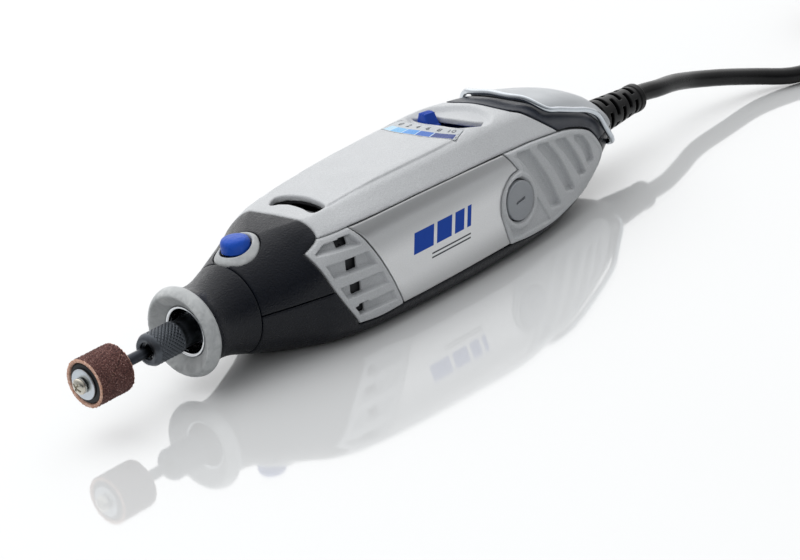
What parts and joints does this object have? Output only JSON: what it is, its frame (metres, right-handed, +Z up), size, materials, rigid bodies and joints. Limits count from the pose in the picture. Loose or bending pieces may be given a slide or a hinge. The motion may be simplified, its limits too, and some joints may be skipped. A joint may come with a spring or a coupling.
{
  "type": "rotary tool",
  "caption": "Corded hand-held rotary tool with a sanding drum, side speed switch, spindle lock button, hanger bail, and a mains cord in a tied hank with its plug.",
  "frame": {"origin": "centre of the flat belly that the tool lies on, under the spindle axis, 90 mm behind the nose ring's front rim", "axes": "+X along the spindle from the nose to the tail and cord, +Z up, +Y to the side away from the viewer"},
  "size_m": [0.5857, 0.0576, 0.0428],
  "materials": {
    "housing_grey": "light grey moulded plastic, fine texture",
    "housing_dark": "black leather-grained plastic",
    "band_slate": "dark slate satin plastic",
    "panel_silver": "silver metallic lacquer, satin",
    "ring_grey": "light grey plastic with faint marbling",
    "button_blue": "blue, satin gloss",
    "scale_print": "blue stepped print under a clear film",
    "bright_chrome": "bright plated wire and turned parts",
    "nut_black": "black oxide, knurled",
    "steel": "ground steel",
    "laminations": "stacked electrical steel",
    "copper": "varnished copper",
    "brass": "drawn brass",
    "carbon": "pressed carbon",
    "inner_plastic": "moulded, dark",
    "fan_plastic": "natural nylon",
    "rubber_black": "moulded black rubber",
    "cord_black": "black cable sheath, satin",
    "band_grit": "brown abrasive grit on paper"
  },
  "bodies": {
    "housing": {"upper_housing": "housing_grey", "lower_housing": "housing_dark", "front_grip": "housing_dark", "lock_bezel": "ring_grey", "lock_spring": "steel", "rear_band": "band_slate", "rear_cap": "ring_grey", "switch_body": "inner_plastic", "speed_scale": "scale_print", "front_bearing": "steel", "rear_bearing": "steel", "field_core": "laminations", "field_coil_left": "copper", "field_coil_right": "copper", "strain_relief": "rubber_black", "power_cord": "cord_black", "cord_coil": "cord_black", "cord_tie": "rubber_black", "plug_body": "cord_black", "plug_pin_left": "bright_chrome", "plug_pin_right": "bright_chrome", "side_panel_left": "panel_silver", "front_grille_left": "housing_grey", "rear_grip_left": "housing_grey", "brush_holder_left": "brass", "brush_spring_left": "steel", "side_panel_right": "panel_silver", "front_grille_right": "housing_grey", "rear_grip_right": "housing_grey", "brush_holder_right": "brass", "brush_spring_right": "steel", "housing_screw_front_left": "steel", "housing_screw_front_right": "steel", "housing_screw_rear_left": "steel", "housing_screw_rear_right": "steel"},
    "spindle": {"spindle": "steel", "collet": "steel", "drive_coupling": "rubber_black", "armature_shaft": "steel", "cooling_fan": "fan_plastic", "armature_core": "laminations", "armature_winding_front": "copper", "armature_winding_rear": "copper", "commutator": "copper"},
    "collet_nut": {"collet_nut": "nut_black"},
    "accessory": {"mandrel": "nut_black", "rubber_drum": "rubber_black", "drum_washer": "bright_chrome"},
    "sanding_band": {"sanding_band": "band_grit"},
    "drum_screw": {"drum_screw": "brass"},
    "nose_cap": {"nose_cap": "housing_dark", "nose_ring": "ring_grey", "nose_insert": "bright_chrome"},
    "lock_button": {"lock_button": "button_blue"},
    "speed_switch": {"speed_switch_lever": "button_blue"},
    "hanger_bail": {"hanger_bail": "bright_chrome"},
    "brush_cap_left": {"brush_cap_left": "housing_grey"},
    "brush_cap_right": {"brush_cap_right": "housing_grey"},
    "carbon_brush_left": {"carbon_brush_left": "carbon"},
    "carbon_brush_right": {"carbon_brush_right": "carbon"}
  },
  "joints": [
    {"name": "spindle_spin", "type": "hinge", "parent": "housing", "child": "spindle", "pos_m": [-0.09, 0, 0.01725], "axis": [1, 0, 0], "continuous": true},
    {"name": "collet_nut_turn", "type": "hinge", "parent": "spindle", "child": "collet_nut", "pos_m": [-0.09, 0, 0.01725], "axis": [1, 0, 0], "range_deg": [-360, 0]},
    {"name": "accessory_slide", "type": "slide", "parent": "spindle", "child": "accessory", "axis": [-1, 0, 0], "range_m": [0, 0.022]},
    {"name": "sanding_band_slide", "type": "slide", "parent": "accessory", "child": "sanding_band", "axis": [-1, 0, 0], "range_m": [0, 0.014]},
    {"name": "drum_screw_turn", "type": "hinge", "parent": "accessory", "child": "drum_screw", "pos_m": [-0.09, 0, 0.01725], "axis": [1, 0, 0], "range_deg": [-360, 0]},
    {"name": "nose_cap_turn", "type": "hinge", "parent": "housing", "child": "nose_cap", "pos_m": [-0.09, 0, 0.01725], "axis": [1, 0, 0], "range_deg": [-360, 0]},
    {"name": "lock_button_press", "type": "slide", "parent": "housing", "child": "lock_button", "axis": [0, 0, -1], "range_m": [0, 0.0025], "stiffness_N_per_m": 400, "springref_m": -0.001, "deforming": ["lock_spring"]},
    {"name": "speed_switch_swing", "type": "hinge", "parent": "housing", "child": "speed_switch", "pos_m": [0.057, 0, 0.01725], "axis": [0, 0, 1], "range_deg": [0, 34]},
    {"name": "hanger_bail_swing", "type": "hinge", "parent": "housing", "child": "hanger_bail", "pos_m": [0.0935, 0, 0.01325], "axis": [0, 1, 0], "range_deg": [0, 125]},
    {"name": "brush_cap_left_turn", "type": "hinge", "parent": "housing", "child": "brush_cap_left", "pos_m": [0.0303, -0.02535, 0.01725], "axis": [0, -1, 0], "range_deg": [0, 360]},
    {"name": "carbon_brush_left_lift", "type": "slide", "parent": "housing", "child": "carbon_brush_left", "axis": [0, -1, 0], "range_m": [0, 0.0006], "stiffness_N_per_m": 120, "springref_m": -0.004},
    {"name": "brush_cap_right_turn", "type": "hinge", "parent": "housing", "child": "brush_cap_right", "pos_m": [0.0303, 0.02535, 0.01725], "axis": [0, 1, 0], "range_deg": [0, 360]},
    {"name": "carbon_brush_right_lift", "type": "slide", "parent": "housing", "child": "carbon_brush_right", "axis": [0, 1, 0], "range_m": [0, 0.0006], "stiffness_N_per_m": 120, "springref_m": -0.004}
  ]
}
